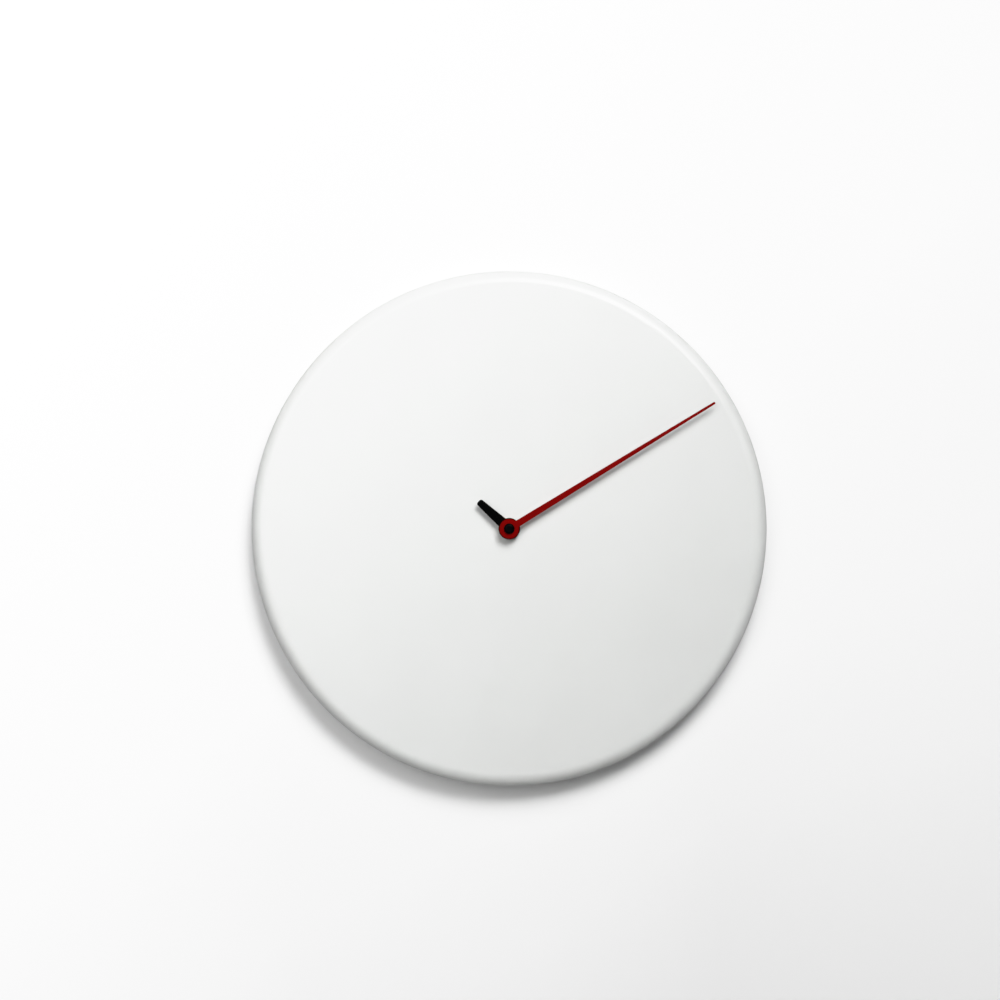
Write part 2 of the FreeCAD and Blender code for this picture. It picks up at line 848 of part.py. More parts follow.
def make_case():
    """The front shell: a gear chamber above an open battery bay, with posts and pivot holes."""
    body = new_body("movement_case")
    shell = rounded_rectangle("-case_half", "case_half", "-case_half", "case_half", "case_corner")
    pad(body, "case_stand", CASE_FRONT, shell)

    def outer_edge(edge):
        point = edge.BoundBox.Center
        level = same(edge.BoundBox.YLength, 0)
        at_face = any(same(point.y, -number(stand)) for stand in ("case_stand", CASE_FRONT))
        return level and at_face

    round_edges(body, "case_edge", outer_edge)
    left, right = f"-({CAVITY_HALF})", CAVITY_HALF
    chamber = rounded_rectangle(left, right, PARTITION_TOP, CAVITY_HALF, INNER_CORNER)
    bay = rounded_rectangle(left, right, left, "bay_top", INNER_CORNER)
    seat = rounded_rectangle(left, right, "bay_top", CAVITY_HALF, INNER_CORNER)
    pocket(body, "case_stand", CASE_FLOOR, chamber)
    pocket(body, "case_stand", CASE_FLOOR, bay)
    pocket(body, "case_stand", COVER_FRONT, seat)

    plate_posts = [circle(x, z, "post_radius") for x, z in POSTS_AT]
    pad(body, "middle_plate_stand + plate", CASE_FLOOR, *plate_posts)
    inset = f"{CAVITY_HALF} - cover_post_inset"
    cover_posts = [circle(x, inset, "cover_post") for x in (f"-({inset})", "cover_post_middle", inset)]
    pad(body, COVER_FRONT, CASE_FLOOR, *cover_posts)
    board_posts = [
        circle("board_left + board_post_inset", "board_top - board_post_inset", "board_post"),
        circle("board_right - board_post_inset", "board_bottom + board_post_inset", "board_post"),
    ]
    pad(body, "board_stand + board_thickness", CASE_FLOOR, *board_posts)

    pocket(body, CASE_FLOOR, CASE_FRONT, circle("0", "0", "bushing_tail + slip"))
    pivots = [circle(*at, "arbor + running_gap") for at in (MOTION_AT, SETTING_AT)]
    pocket(body, CASE_FLOOR, f"{CASE_FLOOR} + pivot_depth", *pivots)
    finger_notch = rectangle("-bay_notch_half", "bay_notch_half", "-case_half - case_wall", left)
    pocket(body, "case_stand", "case_stand + bay_notch_depth", finger_notch)
    below, above = "bay_top - case_corner", f"{PARTITION_TOP} + case_corner"
    tail_slot = rectangle(f"{POSITIVE_AT} - contact_touch", right, below, above)
    tail_reach = "tail_half + contact_touch"
    pocket(body, f"board_stand - ({tail_reach})", f"board_stand + {tail_reach}", tail_slot)
    riser_sides = ("riser_left - contact_touch", "riser_right + contact_touch")
    riser_slot = rectangle(*riser_sides, "bay_top", PARTITION_TOP)
    pocket(body, f"{CASE_FLOOR} - contact - contact_touch", CASE_FLOOR, riser_slot)


def make_cover():
    """The rear cover, let into the case, with a hole and a raised ring round the setting knob."""
    body = new_body("movement_cover")
    side = f"{CAVITY_HALF} - cover_gap"
    outline = rounded_rectangle(f"-({side})", side, "bay_top + cover_gap", side, INNER_CORNER)
    stem_hole = circle(*SETTING_AT, "setting_stem + running_gap")
    pad(body, "case_stand", COVER_FRONT, outline, stem_hole)
    outer = circle(*SETTING_AT, "knob_ring")
    inner = circle(*SETTING_AT, "knob_ring - knob_ring_wall")
    pad(body, "case_stand - case_edge", "case_stand", outer, inner)


def plate_outline():
    return rectangle("plate_left", "plate_right", "plate_bottom", "plate_top")


def holes(places, radius):
    return [circle(x, z, radius) for x, z in places]


def make_plates():
    """The middle plate with its stepped posts, and the train plate that sits on them."""
    pivot = "arbor + running_gap"
    stem_hole = circle(*SETTING_AT, "setting_stem + running_gap")
    middle = new_body("middle_plate")
    middle_front = "middle_plate_stand + plate"
    front_pivots = holes([MOTION_AT, THIRD_AT, INTERMEDIATE_AT, ROTOR_AT], pivot)
    neck_hole = circle("0", "0", "minute_neck + running_gap")
    pad(middle, "middle_plate_stand", middle_front, plate_outline(), stem_hole, neck_hole, *front_pivots)
    train_front = "train_plate_stand + plate"
    stator_front = "stator_stand + plate"
    pad(middle, stator_front, "middle_plate_stand", *holes(POSTS_AT, "post_radius"))
    pad(middle, train_front, stator_front, *holes(POSTS_AT, "post_waist"))
    pad(middle, "train_plate_stand - slip", train_front, *holes(POSTS_AT, "post_pin"))

    train = new_body("train_plate")
    rear_pivots = holes([AXIS, THIRD_AT, INTERMEDIATE_AT, ROTOR_AT], pivot)
    pins = holes(POSTS_AT, "post_pin + slip")
    pad(train, "train_plate_stand", train_front, plate_outline(), stem_hole, *rear_pivots, *pins)


# --- The motion works, which turn the hands ------------------------------------------------------


def make_motion_works():
    """Cannon pinion, motion wheel, hour wheel and setting shaft, all in mesh."""
    cannon_phase = 0
    to_motion = number("motion_direction")
    motion_phase = meshed_phase(cannon_phase, CANNON, to_motion, MOTION)
    setting_phase = meshed_phase(motion_phase, MOTION, number("setting_direction"), SETTING)
    hour_phase = 0
    pinion_phase = meshed_phase(hour_phase, HOUR, to_motion, MOTION_PINION)

    hand_front = "minute_hand_stand + hand_sheet"
    arbor_back = "centre_layer - running_gap - minute_head_thickness"
    collar_back = "centre_layer + wheel + running_gap + clutch_sheet + clutch_dish"
    arbor_solid = fused(
        "minute_arbor_solid",
        [
            gear("cannon_pinion", CANNON, "motion_module", cannon_phase, "motion_layer", leaf=True),
            rod("minute_post", "minute_arbor_radius", "motion_layer - leaf_extra", hand_front),
            rod("cap_stub", "minute_tail", hand_front, f"{hand_front} + cap_height / 2 - slip"),
            rod("minute_journal", "minute_neck", collar_back, "motion_layer"),
            rod("minute_tail_rod", "minute_tail", arbor_back, collar_back),
            rod("minute_head_rod", "minute_head", arbor_back, "centre_layer - running_gap"),
        ],
    )
    pivot_end = f"{arbor_back} + 2 * pivot_depth"
    bore_start = f"{arbor_back} - bore_excess"
    pivot_bore = rod("second_pivot_bore", "arbor + running_gap", bore_start, pivot_end)
    cut("minute_arbor", arbor_solid, pivot_bore)

    dish_back = "centre_layer + wheel + running_gap"
    turned(
        "clutch_spring",
        [
            ("clutch_radius", dish_back),
            ("clutch_radius", f"{dish_back} + clutch_sheet"),
            ("minute_neck", f"{dish_back} + clutch_dish + clutch_sheet"),
            ("minute_tail + slip", f"{dish_back} + clutch_dish + clutch_sheet"),
            ("minute_tail + slip", f"{dish_back} + clutch_dish"),
            ("minute_neck", f"{dish_back} + clutch_dish"),
        ],
    )

    tube_back = "hour_layer - leaf_extra"
    tube_front = "hour_hand_stand + hand_sheet"
    hour_solid = fused(
        "hour_wheel_solid",
        [
            gear("hour_teeth", HOUR, HOUR_MODULE, hour_phase, "hour_layer"),
            rod("hour_tube", "hour_tube_radius", tube_back, tube_front),
        ],
    )
    bore_back, bore_front = f"{tube_back} - bore_excess", f"{tube_front} + bore_excess"
    cut("hour_wheel", hour_solid, rod("hour_bore", "hour_tube_bore", bore_back, bore_front))

    motion = fused(
        "motion_wheel",
        [
            gear("motion_teeth", MOTION, "motion_module", motion_phase, "motion_layer"),
            gear("motion_pinion", MOTION_PINION, HOUR_MODULE, pinion_phase, "hour_layer", leaf=True),
            rod("motion_hub", "motion_hub", "motion_layer", "hour_layer"),
            rod("motion_arbor", "arbor", "middle_plate_stand + leaf_extra", PIVOT_FRONT),
        ],
    )
    place(motion, *MOTION_AT)

    setting = fused(
        "setting_shaft",
        [
            gear("setting_pinion", SETTING, "motion_module", setting_phase, "motion_layer", leaf=True),
            rod("setting_pivot", "arbor", "motion_layer", PIVOT_FRONT),
            rod("setting_stem_rod", "setting_stem", KNOB_FRONT, "motion_layer"),
            rod("setting_tail_rod", "setting_tail", f"{KNOB_BACK} + 2 * knob_recess + slip", KNOB_FRONT),
        ],
    )
    place(setting, *SETTING_AT)


def make_knob():
    """The setting knob, pressed on the shaft: fluted round its edge and dished behind."""
    bore = "setting_tail + slip"
    bore_end = f"{KNOB_BACK} + 2 * knob_recess"
    body = turned(
        "setting_knob",
        [
            ("0", f"{KNOB_BACK} + knob_recess"),
            ("knob_recess_radius", f"{KNOB_BACK} + knob_recess"),
            ("knob_recess_radius", KNOB_BACK),
            ("knob_radius", KNOB_BACK),
            ("knob_radius", KNOB_FRONT),
            (bore, KNOB_FRONT),
            (bore, bore_end),
            ("0", bore_end),
        ],
        *SETTING_AT,
    )
    pocket(body, KNOB_BACK, KNOB_FRONT, circle("knob_radius", "0", "flute_radius"))
    flute = body.Tip
    flutes = body.newObject("PartDesign::PolarPattern", "knob_flutes")
    flutes.Originals = [flute]
    flutes.Axis = (flute.Profile[0], ["N_Axis"])
    flutes.Angle = 360
    flutes.Occurrences = KNOB_FLUTES
    body.Tip = flutes


# --- The going train -----------------------------------------------------------------------------


def make_going_train():
    """Rotor pinion, intermediate, second, third and centre wheels, each in mesh with the next."""
    to_motor = number("motor_direction")
    to_third = number("third_direction")
    rotor_phase = 0
    back = to_motor + 180
    intermediate_phase = meshed_phase(rotor_phase, ROTOR, back, INTERMEDIATE)
    intermediate_leaf = 0
    second_phase = meshed_phase(intermediate_leaf, TRAIN_PINION, back, SECOND)
    second_leaf = 0
    third_phase = meshed_phase(second_leaf, TRAIN_PINION, to_third, THIRD)
    third_leaf = 0
    centre_phase = meshed_phase(third_leaf, TRAIN_PINION, to_third + 180, CENTRE)

    rear_end = "train_plate_stand + leaf_extra"
    front_end = "middle_plate_stand + plate - leaf_extra"

    centre_teeth = gear("centre_teeth", CENTRE, CENTRE_MODULE, centre_phase, "centre_layer")
    bore_back, bore_front = "centre_layer - bore_excess", "centre_layer + wheel + bore_excess"
    centre_bore = rod("centre_bore", "minute_tail + running_gap", bore_back, bore_front)
    cut("centre_wheel", centre_teeth, centre_bore)

    third = fused(
        "third_wheel",
        [
            gear("third_teeth", THIRD, THIRD_MODULE, third_phase, "third_layer"),
            gear("third_pinion", TRAIN_PINION, CENTRE_MODULE, third_leaf, "centre_layer", leaf=True),
            rod("third_hub", "train_hub", "third_layer", "centre_layer"),
            rod("third_arbor", "arbor", rear_end, front_end),
        ],
    )
    place(third, *THIRD_AT)

    second = fused(
        "second_wheel",
        [
            gear("second_teeth", SECOND, SECOND_MODULE, second_phase, "second_layer"),
            gear("second_pinion", TRAIN_PINION, THIRD_MODULE, second_leaf, "third_layer", leaf=True),
            rod("second_hub", "train_hub", "second_layer", "third_layer"),
            rod("second_arbor", "arbor", rear_end, "centre_layer + pivot_depth / 2"),
        ],
    )
    place(second, *AXIS)

    intermediate = fused(
        "intermediate_wheel",
        [
            gear(
                "intermediate_teeth",
                INTERMEDIATE,
                "motor_module",
                intermediate_phase,
                "intermediate_layer",
            ),
            gear(
                "intermediate_pinion",
                TRAIN_PINION,
                SECOND_MODULE,
                intermediate_leaf,
                "second_layer",
                leaf=True,
            ),
            rod("intermediate_hub", "intermediate_hub", "intermediate_layer", "second_layer"),
            rod("intermediate_arbor", "arbor", rear_end, front_end),
        ],
    )
    place(intermediate, *INTERMEDIATE_AT)

    rotor = fused(
        "rotor_pinion",
        [
            gear("rotor_leaves", ROTOR, "motor_module", rotor_phase, "intermediate_layer", leaf=True),
            rod("rotor_collar", "magnet_collar", "magnet_stand", "magnet_stand + magnet_thickness"),
            rod("rotor_arbor", "arbor", rear_end, front_end),
        ],
    )
    place(rotor, *ROTOR_AT)
    magnet_front = "magnet_stand + magnet_thickness"
    ring("rotor_magnet", "magnet_bore", "magnet_radius", "magnet_stand", magnet_front, *ROTOR_AT)


# --- The motor's coil and the circuit board ------------------------------------------------------


def make_motor():
    """The stator plate, the coil's core, its bobbin and its winding."""
    stator = new_body("stator")
    stator_front = "stator_stand + plate"
    top_inside = "stator_top - stator_leg"
    bottom_inside = "stator_bottom + stator_leg"
    outline = polygon(
        [
            ("stator_left", "stator_bottom"),
            ("stator_right", "stator_bottom"),
            ("stator_right", bottom_inside),
            ("stator_waist", bottom_inside),
            ("stator_waist", top_inside),
            ("stator_right", top_inside),
            ("stator_right", "stator_top"),
            ("stator_left", "stator_top"),
        ]
    )
    right_posts = [(x, z) for x, z in POSTS_AT if x == "post_right"]
    rotor_hole = circle(*ROTOR_AT, "stator_bore")
    post_holes = holes(right_posts, "post_waist + slip")
    pad(stator, "stator_stand", stator_front, outline, rotor_hole, *post_holes)

    core_left = "coil_axis - core_width / 2"
    core_right = "coil_axis + core_width / 2"
    core_near = "stator_stand - plate"
    core_ends = ("stator_bottom", "stator_top")
    core = block("coil_core", core_left, core_right, *core_ends, core_near, "stator_stand")
    core.Label = "coil_core"

    bottom = f"{bottom_inside} + bobbin_gap"
    top = f"{top_inside} - bobbin_gap"
    coil = ("coil_axis", "stator_stand - plate / 2")

    def spool(name, radius, low, high):
        piece = doc.addObject("Part::Cylinder", name)
        bind(piece, "Radius", radius)
        bind(piece, "Height", f"({high}) - ({low})")
        bind(piece, "Placement.Base.x", coil[0])
        bind(piece, "Placement.Base.y", f"-({coil[1]})")
        bind(piece, "Placement.Base.z", low)
        return piece

    lower_lip, upper_lip = f"{bottom} + bobbin_lip", f"{top} - bobbin_lip"
    bobbin_solid = fused(
        "bobbin_solid",
        [
            spool("bobbin_barrel_rod", "bobbin_barrel", bottom, top),
            spool("bobbin_lower_lip", "bobbin_flange", bottom, lower_lip),
            spool("bobbin_upper_lip", "bobbin_flange", upper_lip, top),
        ],
    )
    core_hole = block(
        "bobbin_hole",
        f"{core_left} - running_gap",
        f"{core_right} + running_gap",
        f"{bottom} - bore_excess",
        f"{top} + bore_excess",
        f"{core_near} - running_gap",
        "stator_stand + running_gap",
    )
    cut("coil_bobbin", bobbin_solid, core_hole)
    wire = spool("winding_solid", "winding_radius", f"{lower_lip} + slip", f"{upper_lip} - slip")
    cut("coil_winding", wire, spool("winding_hole", "bobbin_barrel + slip", bottom, top))


def make_board():
    """The circuit board with its covered chip and the quartz crystal's can."""
    board = new_body("circuit_board")
    outline = rectangle("board_left", "board_right", "board_bottom", "board_top")
    pad(board, "board_stand", "board_stand + board_thickness", outline)

    chip_at = ("board_left + chip_inset", "board_bottom + chip_inset")
    chip_back = "board_stand - chip_height"
    chip = turned(
        "clock_chip",
        [
            ("0", "board_stand"),
            ("0", chip_back),
            ("chip_radius", chip_back),
            ("chip_radius", "board_stand"),
        ],
        *chip_at,
    )
    round_edges(chip, "chip_round", hoop("chip_radius", chip_back))

    can_stand = "board_stand - crystal_radius"
    can = new_body("quartz_crystal", z="board_top - crystal_inset", stand=can_stand)
    can_right = "board_right - crystal_radius"
    can_left = f"{can_right} - crystal_length"
    pad(can, can_left, can_right, circle("0", "0", "crystal_radius"), role="YZ_Plane")


# --- The AA cell and its contacts ----------------------------------------------------------------


def make_cell():
    """An AA cell lying across the bay: its sleeve and the metal caps at its two ends."""

    def cell_body(label):
        return new_body(label, z="cell_height", stand="cell_stand")

    sleeve_left = "cell_negative_end + cell_end_plate"
    nub_end = "cell_negative_end + cell_length"
    plate_right = f"{nub_end} - nub_length"
    sleeve_right = f"{plate_right} - cell_end_plate"
    sleeve = cell_body("battery_sleeve")
    pad(sleeve, sleeve_left, sleeve_right, circle("0", "0", "cell_radius"), role="YZ_Plane")
    round_edges(sleeve, "cell_round", lambda edge: isinstance(edge.Curve, Part.Circle))

    plate_radius = "cell_radius - 2 * cell_round"
    positive = cell_body("battery_positive_cap")
    pad(positive, sleeve_right, plate_right, circle("0", "0", plate_radius), role="YZ_Plane")
    pad(positive, plate_right, nub_end, circle("0", "0", "nub_radius"), role="YZ_Plane")
    negative = cell_body("battery_negative_cap")
    pad(negative, "cell_negative_end", sleeve_left, circle("0", "0", plate_radius), role="YZ_Plane")


def make_contacts():
    """Two bent strips from the ends of the cell to the circuit board."""
    low = "cell_height - contact_half_height"
    high = "cell_height + contact_half_height"

    positive = new_body("positive_contact")
    outside = f"{POSITIVE_AT} + contact"
    finger_low = "board_bottom + finger_inset"
    finger_high = f"{finger_low} + finger_width"
    pad(positive, "contact_near", "contact_far", rectangle(POSITIVE_AT, outside, low, high))
    tail = rectangle(POSITIVE_AT, outside, "bay_top - strip_width", finger_high)
    pad(positive, "board_stand - tail_half", "board_stand + tail_half", tail)
    finger = rectangle("board_right - finger_inset", outside, finger_low, finger_high)
    pad(positive, "board_stand - contact", "board_stand", finger)

    negative = new_body("negative_contact")
    leaf_tip = "cell_negative_end - contact_touch"
    inside = f"{leaf_tip} - leaf_rise"
    outside = f"{inside} - contact"
    strip_back = f"{CASE_FLOOR} - contact"
    pad(negative, "contact_near", CASE_FLOOR, rectangle(outside, inside, low, high))
    leaf = polygon(
        [
            (inside, low),
            (leaf_tip, "cell_height"),
            (inside, high),
            (inside, f"{high} - 2 * contact"),
            (f"{leaf_tip} - contact", "cell_height"),
            (inside, f"{low} + 2 * contact"),
        ]
    )
    pad(negative, "cell_stand - leaf_half_width", "cell_stand + leaf_half_width", leaf)
    strip_low = "cell_height - strip_width / 2"
    leg_top = "board_bottom + finger_inset"
    leg_back = f"{leg_top} - contact"
    across = rectangle(outside, "riser_right", strip_low, "cell_height + strip_width / 2")
    pad(negative, strip_back, CASE_FLOOR, across)
    riser = rectangle("riser_left", "riser_right", "cell_height", leg_top)
    pad(negative, strip_back, CASE_FLOOR, riser)
    board_front = "board_stand + board_thickness"
    leg = rectangle("riser_left", "riser_right", leg_back, leg_top)
    pad(negative, board_front, strip_back, leg)


# --- Checking and writing ------------------------------------------------------------------------

NODES = [
    "dial_dish",
    "minute_hand",
    "hour_hand",
    "hand_cap",
    "hanger_bracket",
    "hanger_studs",
    "hanger_washers",
    "hanger_nuts",
    "dial_gasket",
    "centre_bushing",
    "fixing_washer",
    "fixing_nut",
    "hour_hand_bush",
    "minute_hand_bush",
    "movement_case",
    "movement_cover",
    "middle_plate",
    "train_plate",
    "hour_wheel",
    "motion_wheel",
    "minute_arbor",
    "clutch_spring",
    "centre_wheel",
    "third_wheel",
    "second_wheel",
    "intermediate_wheel",
    "rotor_pinion",
    "rotor_magnet",
    "stator",
    "coil_core",
    "coil_bobbin",
    "coil_winding",
    "circuit_board",
    "clock_chip",
    "quartz_crystal",
    "positive_contact",
    "negative_contact",
    "battery_sleeve",
    "battery_positive_cap",
    "battery_negative_cap",
    "setting_shaft",
    "setting_knob",
]


def check_features():
    """Stop if any object failed, or if a pocket took nothing away."""
    for thing in doc.Objects:
        if "Invalid" in thing.State or "Error" in thing.State:
            raise RuntimeError(f"{thing.Name} failed: {thing.State}")
        if thing.TypeId == "PartDesign::Pocket":
            before = thing.BaseFeature.Shape.Volume
            if thing.Shape.Volume > before - 0.001:
                raise RuntimeError(f"{thing.Name} cut nothing")


def write_nodes():
    """Write one STEP file for each sub-part, once all of them are sound."""
    shapes = {}
    for node in NODES:
        shape = doc.getObjectsByLabel(node)[0].Shape
        if shape.isNull() or not shape.isValid():
            raise RuntimeError(f"{node} has no valid shape")
        shapes[node] = shape
    os.makedirs("parts", exist_ok=True)
    for node, shape in shapes.items():
        shape.exportStep(f"parts/{node}.step")
        print(f"{node}: {len(shape.Solids)} solid, {shape.Volume:.2f} mm3")


fill_sheet()
make_dial()
make_hanger()
make_hanger_fixings()
make_centre_fixings()
make_hands()
make_case()
make_cover()
make_plates()
make_motion_works()
make_knob()
make_going_train()
make_motor()
make_board()
make_cell()
make_contacts()
doc.recompute()
check_features()
write_nodes()
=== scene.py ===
import json
import math

import bmesh
import bpy
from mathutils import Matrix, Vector


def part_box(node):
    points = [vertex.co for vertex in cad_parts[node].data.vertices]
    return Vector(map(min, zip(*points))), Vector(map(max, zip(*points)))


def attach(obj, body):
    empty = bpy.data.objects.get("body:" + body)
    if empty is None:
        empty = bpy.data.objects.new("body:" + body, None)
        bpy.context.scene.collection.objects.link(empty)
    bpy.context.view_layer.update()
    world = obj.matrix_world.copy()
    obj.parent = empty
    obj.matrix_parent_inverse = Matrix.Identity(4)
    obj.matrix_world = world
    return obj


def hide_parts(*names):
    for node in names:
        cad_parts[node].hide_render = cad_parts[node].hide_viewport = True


# Wall clock. +Y points into the wall, +Z is up, and the clock faces -Y. Lengths are in metres.

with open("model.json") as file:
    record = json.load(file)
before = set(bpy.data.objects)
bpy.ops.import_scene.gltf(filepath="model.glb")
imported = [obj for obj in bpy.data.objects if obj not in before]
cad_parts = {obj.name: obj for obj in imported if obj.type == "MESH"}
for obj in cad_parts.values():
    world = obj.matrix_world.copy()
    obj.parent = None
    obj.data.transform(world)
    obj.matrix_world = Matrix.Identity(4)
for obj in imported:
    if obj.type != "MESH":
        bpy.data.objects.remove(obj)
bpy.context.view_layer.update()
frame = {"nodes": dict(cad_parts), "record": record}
MM = 0.001


# --- Node helpers --------------------------------------------------------------------------------


def shader(name, colour, roughness, metallic=0.0, specular=0.5):
    """A new material with its own Principled shader, and the tools to add detail to it."""
    material = bpy.data.materials.new(name)
    material.use_nodes = True
    principled = material.node_tree.nodes["Principled BSDF"]
    principled.inputs["Base Color"].default_value = (*colour, 1)
    principled.inputs["Roughness"].default_value = roughness
    principled.inputs["Metallic"].default_value = metallic
    principled.inputs["Specular IOR Level"].default_value = specular
    return material, Tree(material.node_tree, principled)


class Tree:
    """Short calls for the nodes that the finishes share. Textures sit in the piece's own frame."""

    def __init__(self, tree, principled):
        self.tree = tree
        self.out = principled
        self.place = self.node("ShaderNodeTexCoord").outputs["Object"]

    def node(self, kind, **settings):
        made = self.tree.nodes.new(kind)
        for key, value in settings.items():
            setattr(made, key, value)
        return made

    def link(self, source, target):
        self.tree.links.new(source, target)

    def drawn_along_x(self, scale):
        """The piece's own coordinates, with features drawn out along X."""
        mapping = self.node("ShaderNodeMapping")
        mapping.inputs["Scale"].default_value = (scale, 1, 1)
        self.link(self.place, mapping.inputs["Vector"])
        return mapping.outputs["Vector"]

    def noise(self, size, detail=3, source=None):
        """Cloudy noise whose features are about size metres across."""
        made = self.node("ShaderNodeTexNoise")
        made.inputs["Scale"].default_value = 1 / size
        made.inputs["Detail"].default_value = detail
        self.link(source or self.place, made.inputs["Vector"])
        return made.outputs["Fac"]

    def cells(self, size, output="Distance"):
        made = self.node("ShaderNodeTexVoronoi")
        made.inputs["Scale"].default_value = 1 / size
        self.link(self.place, made.inputs["Vector"])
        return made.outputs[output]

    def scaled(self, value, low, high, start=0.3, end=0.7):
        made = self.node("ShaderNodeMapRange")
        for key, amount in (
            ("From Min", start),
            ("From Max", end),
            ("To Min", low),
            ("To Max", high),
        ):
            made.inputs[key].default_value = amount
        self.link(value, made.inputs["Value"])
        return made.outputs["Result"]

    def blend(self, value, first, second):
        """first where value is 0 and second where it is 1. Each is a colour or a socket."""
        made = self.node("ShaderNodeMix", data_type="RGBA")
        self.link(value, made.inputs["Factor"])
        sockets = [s for s in made.inputs if s.type == "RGBA"]
        for socket, colour in zip(sockets, (first, second)):
            if isinstance(colour, tuple):
                socket.default_value = (*colour, 1)
            else:
                self.link(colour, socket)
        return [s for s in made.outputs if s.type == "RGBA"][0]

    def math(self, operation, *values):
        made = self.node("ShaderNodeMath", operation=operation)
        for socket, value in zip(made.inputs, values):
            if isinstance(value, (int, float)):
                socket.default_value = value
            else:
                self.link(value, socket)
        return made.outputs["Value"]

    def split(self, vector, kind="XYZ"):
        """The parts of a vector, or of a colour where kind is Color."""
        made = self.node("ShaderNodeSeparate" + kind)
        self.link(vector, made.inputs["Vector" if kind == "XYZ" else kind])
        return made.outputs

    def glow(self, strength):
        self.out.inputs["Emission Color"].default_value = (1, 1, 1, 1)
        self.link(strength, self.out.inputs["Emission Strength"])

    def colour(self, socket):
        self.link(socket, self.out.inputs["Base Color"])

    def roughness(self, socket):
        self.link(socket, self.out.inputs["Roughness"])

    def bump(self, *layers):
        """Each layer is (height, depth in metres, strength)."""
        normal = None
        for height, depth, strength in layers:
            made = self.node("ShaderNodeBump")
            made.inputs["Distance"].default_value = depth
            made.inputs["Strength"].default_value = strength
            self.link(height, made.inputs["Height"])
            if normal is not None:
                self.link(normal, made.inputs["Normal"])
            normal = made.outputs["Normal"]
        self.link(normal, self.out.inputs["Normal"])

    def edges(self, width):
        """1 on sharp edges and 0 on flat faces, over about width metres."""
        rounded = self.node("ShaderNodeBevel", samples=4)
        rounded.inputs["Radius"].default_value = width
        geometry = self.node("ShaderNodeNewGeometry")
        dot = self.node("ShaderNodeVectorMath", operation="DOT_PRODUCT")
        self.link(rounded.outputs["Normal"], dot.inputs[0])
        self.link(geometry.outputs["Normal"], dot.inputs[1])
        return self.scaled(dot.outputs["Value"], 1, 0, 0.8, 0.99)


# A wave texture's scale for a pitch of one metre.
BAND_SCALE = 0.314
RING_SCALE = 0.05


def shade(colour, factor):
    return tuple(min(1.0, c * factor) for c in colour)


# --- Finishes ------------------------------------------------------------------------------------


def enamel():
    """Baked white paint: faint orange peel, slight unevenness and a few faint specks."""
    white = (0.66, 0.669, 0.659)
    material, t = shader("dial_enamel", white, 0.34)
    cloud = t.scaled(t.noise(60 * MM, 4), 0, 1)
    specks = t.scaled(t.cells(9 * MM), 0, 1, 0.0, 0.02)
    tint = t.blend(cloud, shade(white, 0.985), shade(white, 1.012))
    t.colour(t.blend(specks, shade(white, 0.95), tint))
    t.roughness(t.scaled(t.noise(24 * MM, 5), 0.30, 0.39))
    t.bump((t.noise(1.6 * MM, 2), 0.006 * MM, 0.5), (t.noise(90 * MM, 1), 0.05 * MM, 0.25))
    return material


def lacquer(name, colour, roughness, specular, wear):
    """Sprayed lacquer on stamped sheet metal: fine flow marks, and thin paint along the edges."""
    material, t = shader(name, colour, roughness, specular=specular)
    cloud = t.scaled(t.noise(11 * MM, 4), 0, 1)
    base = t.blend(cloud, shade(colour, 0.93), shade(colour, 1.07))
    t.colour(t.blend(t.edges(0.12 * MM), base, wear))
    t.roughness(t.scaled(t.noise(4 * MM, 5), roughness - 0.05, roughness + 0.06))
    t.bump((t.noise(0.5 * MM, 2), 0.003 * MM, 0.6))
    return material


def moulded(name, colour, roughness, grain=0.35, depth=0.012, worn=1.5):
    """Moulded plastic: spark-eroded grain, slight flow clouding and rubbed edges."""
    material, t = shader(name, colour, roughness)
    cloud = t.scaled(t.noise(7 * MM, 4), 0, 1)
    base = t.blend(cloud, shade(colour, 0.9), shade(colour, 1.1))
    t.colour(t.blend(t.edges(0.2 * MM), base, shade(colour, worn)))
    t.roughness(t.scaled(t.noise(3 * MM, 4), roughness - 0.06, roughness + 0.06))
    t.bump((t.noise(grain * MM, 3), depth * MM, 0.8))
    return material


def plated(name, colour, roughness, spangle=1.4):
    """Plated sheet steel: patchy crystals, rolling lines and brighter edges."""
    material, t = shader(name, colour, roughness, 1.0)
    patch = t.split(t.cells(spangle * MM, "Color"), "Color")["Red"]
    base = t.blend(patch, shade(colour, 0.9), shade(colour, 1.06))
    lines = t.noise(0.6 * MM, 3, t.drawn_along_x(0.05))
    t.colour(t.blend(t.edges(0.15 * MM), base, shade(colour, 1.3)))
    t.roughness(t.scaled(t.noise(5 * MM, 5), roughness - 0.07, roughness + 0.1))
    t.bump((lines, 0.004 * MM, 0.5), (patch, 0.001 * MM, 0.4))
    return material


def turned_metal(name, colour, roughness, pitch=0.09):
    """Turned metal: fine tool rings round the Y axis and slight tarnish."""
    material, t = shader(name, colour, roughness, 1.0)
    rings = t.node("ShaderNodeTexWave", wave_type="RINGS", rings_direction="Y")
    rings.inputs["Scale"].default_value = RING_SCALE / (pitch * MM)
    rings.inputs["Distortion"].default_value = 0.4
    rings.inputs["Detail"].default_value = 2
    t.link(t.place, rings.inputs["Vector"])
    tarnish = t.scaled(t.noise(3 * MM, 5), 0, 1, 0.35, 0.75)
    t.colour(t.blend(tarnish, colour, shade(colour, 0.78)))
    t.roughness(t.scaled(t.noise(1.5 * MM, 4), roughness - 0.05, roughness + 0.1))
    t.bump((rings.outputs["Fac"], 0.002 * MM, 0.6))
    return material


